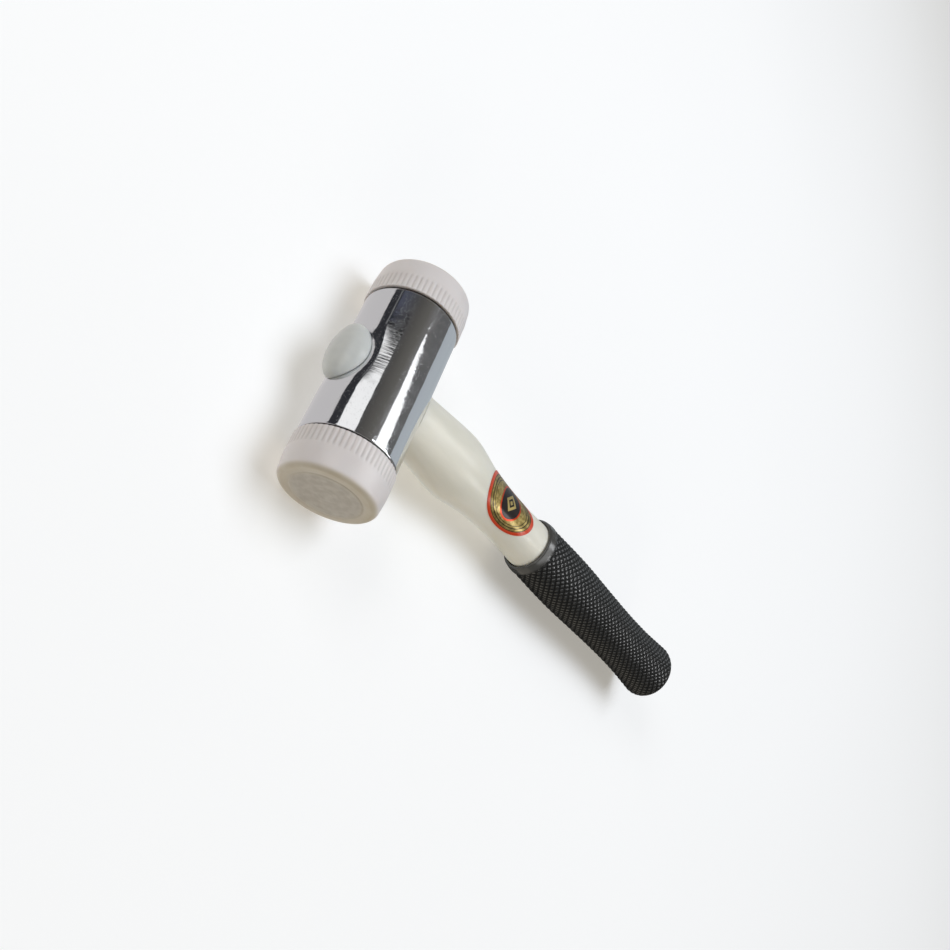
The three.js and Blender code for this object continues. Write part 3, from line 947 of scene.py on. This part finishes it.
def card(name, stations, material):
    """A glowing card that curves round the head and is seen only in reflections.

    stations are (x, lowest angle, highest angle), with angles as in around_head.
    """
    steps = 8
    corners = []
    faces = []
    for x, low, high in stations:
        corners.extend(around_head(angle, CARD_DISTANCE, x) for angle in np.linspace(low, high, steps))
    for row in range(len(stations) - 1):
        for step in range(steps - 1):
            first = row * steps + step
            faces.append((first, first + 1, first + 1 + steps, first + steps))
    stage_mesh(name, corners, faces, material, ("glossy",))


def sheet(name, outline, material, seen_by):
    """A flat sheet on the ground. Its outline is given from the eye as (x, y) pairs."""
    corners = [(x, EYE.y + y, 0) for x, y in outline]
    stage_mesh(name, corners, [tuple(range(len(corners)))], material, seen_by)


def rectangle(low_x, low_y, high_x, high_y):
    """The outline of a rectangle."""
    return [(low_x, low_y), (high_x, low_y), (high_x, high_y), (low_x, high_y)]


def pale_floor():
    """The floor, and the backdrop beyond it that only the camera sees."""
    reach = 4.0
    paper = Shader("pale_floor", Roughness=0.9, Specular_IOR_Level=0.0)
    tone = paper.noise(0.4, 2.0)
    paper.set("Base Color", paper.mix(tone, (0.7, 0.7, 0.7, 1), (0.73, 0.73, 0.73, 1)))
    paper.surface.inputs["Emission Color"].default_value = (1.0, 0.96, 0.86, 1)
    paper.surface.inputs["Emission Strength"].default_value = FLOOR_GLOW
    paper.material.cycles.emission_sampling = "NONE"
    outline = rectangle(-reach, -reach, reach, reach)
    sheet("floor", outline, paper.material, ("camera", "diffuse", "transmission", "shadow"))

    work = bmesh.new()
    bmesh.ops.create_uvsphere(work, u_segments=32, v_segments=16, radius=reach)
    corners = [tuple(v.co) for v in work.verts]
    faces = [[v.index for v in f.verts] for f in work.faces]
    work.free()
    stage_mesh("backdrop", corners, faces, glow("pale_backdrop", (0.9, 0.9, 0.9)), ("camera",))


def room():
    """The dim studio round the head, as a colour for each angle about its axis."""
    world = bpy.data.worlds.new("room")
    bpy.context.scene.world = world
    world.use_nodes = True
    tree = world.node_tree
    split = tree.nodes.new("ShaderNodeSeparateXYZ")
    tree.links.new(tree.nodes.new("ShaderNodeTexCoord").outputs["Generated"], split.inputs[0])
    angle = tree.nodes.new("ShaderNodeMath")
    angle.operation = "ARCTAN2"
    tree.links.new(split.outputs[2], angle.inputs[0])
    tree.links.new(split.outputs[1], angle.inputs[1])
    share = tree.nodes.new("ShaderNodeMapRange")
    share.inputs[1].default_value = -math.pi
    share.inputs[2].default_value = math.pi
    tree.links.new(angle.outputs[0], share.inputs[0])
    ramp = tree.nodes.new("ShaderNodeValToRGB")
    tree.links.new(share.outputs[0], ramp.inputs[0])
    stops = ramp.color_ramp.elements
    stops.remove(stops[1])
    for index, (degrees, tint) in enumerate(ROOM):
        stop = stops[0] if index == 0 else stops.new(1.0)
        stop.position = (degrees + 180) / 360
        stop.color = (*tint, 1)
    tree.links.new(ramp.outputs[0], tree.nodes["Background"].inputs["Color"])


def studio():
    """Floor and backdrop, soft lights, and the cards and sheets that the chrome mirrors."""
    pale_floor()
    room()
    key = glow("key_card", (1.15, 1.14, 1.12), fade=(0.74, 0.87))
    card("key_card", [(-1.4, 11, 50), (0.9, 11, 50)], key)
    top = glow("top_card", (1.5, 1.5, 1.5))
    card("far_top_card", [(-1.4, 99, 128), (0.3, 99, 128)], top)
    side = glow("side_card", (4.0, 4.1, 4.2))
    card("side_card", [(0.3, 90, 134), (0.6, 90, 134)], side)
    taper = [(0.6, 99, 134), (0.62, 99, 127), (0.68, 99, 126)]
    taper += [(0.76, 99, 117), (0.83, 98, 110), (0.9, 97, 99)]
    card("top_card", taper, top)
    over_grip = glow("grip_card", (7.0, 7.1, 7.2))
    card("grip_card", [(-0.3, 129, 145), (-0.06, 129, 145)], over_grip)
    cool = glow("cool_card", (0.49, 0.53, 0.56))
    card("cool_card", [(0.4, 148, 182), (1.3, 148, 182)], cool)
    streak = glow("streak_card", (0.2, 0.2, 0.2))
    card("streak_card", [(0.84, 5.5, 8), (1.3, 5.5, 8)], streak)

    light = glow("light_sheet", (0.66, 0.635, 0.63))
    sheet("light_sheet", rectangle(-1.5, -0.04, 2, 0.19), light, ("glossy",))
    warm = glow("warm_sheet", (0.46, 0.42, 0.36))
    sheet("warm_sheet", rectangle(-1.5, -1.2, -0.03, -0.04), warm, ("glossy",))
    outline = [(-0.03, -0.04), (1.5, -0.04), (1.5, -1.2), (0.55, -1.2), (0.06, -0.12), (-0.03, -0.12)]
    sheet("cool_sheet", outline, glow("cool_sheet", (0.47, 0.51, 0.54)), ("glossy",))

    lamp("overhead", around_head(100, 2.0, 0.4), 1.5, 1.3, 32, (0.91, 0.975, 1.08))
    lamp("plug_side", around_head(35, 1.3, 0.4), 0.8, 0.5, 4.2, (1.0, 0.99, 0.97))
    lamp("warm_fill", EYE + Vector((-1.2, -0.25, 0.3)), 0.6, 0.4, 2.1, (1.0, 0.9, 0.74))


def camera():
    """The photograph's view: a near camera over the plug side, rolled so that the head's X axis is up."""
    forward = (CAMERA_AIM - CAMERA_AT).normalized()
    level = forward.cross(Vector((0, 0, 1))).normalized()
    upright = level.cross(forward)
    right = level * math.cos(CAMERA_ROLL) + upright * math.sin(CAMERA_ROLL)
    up = upright * math.cos(CAMERA_ROLL) - level * math.sin(CAMERA_ROLL)
    data = bpy.data.cameras.new("photo_camera")
    data.sensor_width = 36
    data.lens = CAMERA_LENS
    data.clip_start = 0.01
    view = bpy.data.objects.new("photo_camera", data)
    bpy.context.scene.collection.objects.link(view)
    view.matrix_world = Matrix((right, up, -forward)).transposed().to_4x4()
    view.location = CAMERA_AT
    bpy.context.scene.camera = view


# ------------------------------------------------------------------ the mallet

camera()
studio()
bpy.context.scene.view_settings.view_transform = "Standard"

milky = nylon()
handle_white = white_plastic("satin_white", colour(224, 219, 202), colour(231, 226, 210))
plug_white = white_plastic("satin_grey_white", colour(200, 200, 194), colour(207, 207, 200))
rubber = seal_rubber()
turned_steel = steel("turned_steel", colour(150, 151, 154), colour(186, 187, 190), 0.28, (900, 90, 90))
spring_steel = steel("spring_steel", colour(52, 50, 50), colour(84, 80, 76), 0.35, (300, 300, 300))
ball_steel = steel("ball_steel", colour(140, 141, 143), colour(188, 189, 191), 0.16, (500, 500, 500))

handle_core = Profile("handle", CORE_FOOT, CORE_TOP, 40)
head_tube(chrome())
eye_plug(plug_white)
handle(handle_core, handle_white)
grip(handle_core, knurled_rubber())
label(handle_core, sticker())
for end in ("left", "right"):
    face(end, milky)
    shot(end, ball_steel)
    finish_cad_node(f"{end}_seal_ring", rubber)
    finish_cad_node(f"{end}_chamber_cap", turned_steel)
    finish_cad_node(f"{end}_snap_ring", spring_steel)
finish_cad_node("eye_sleeve", turned_steel)
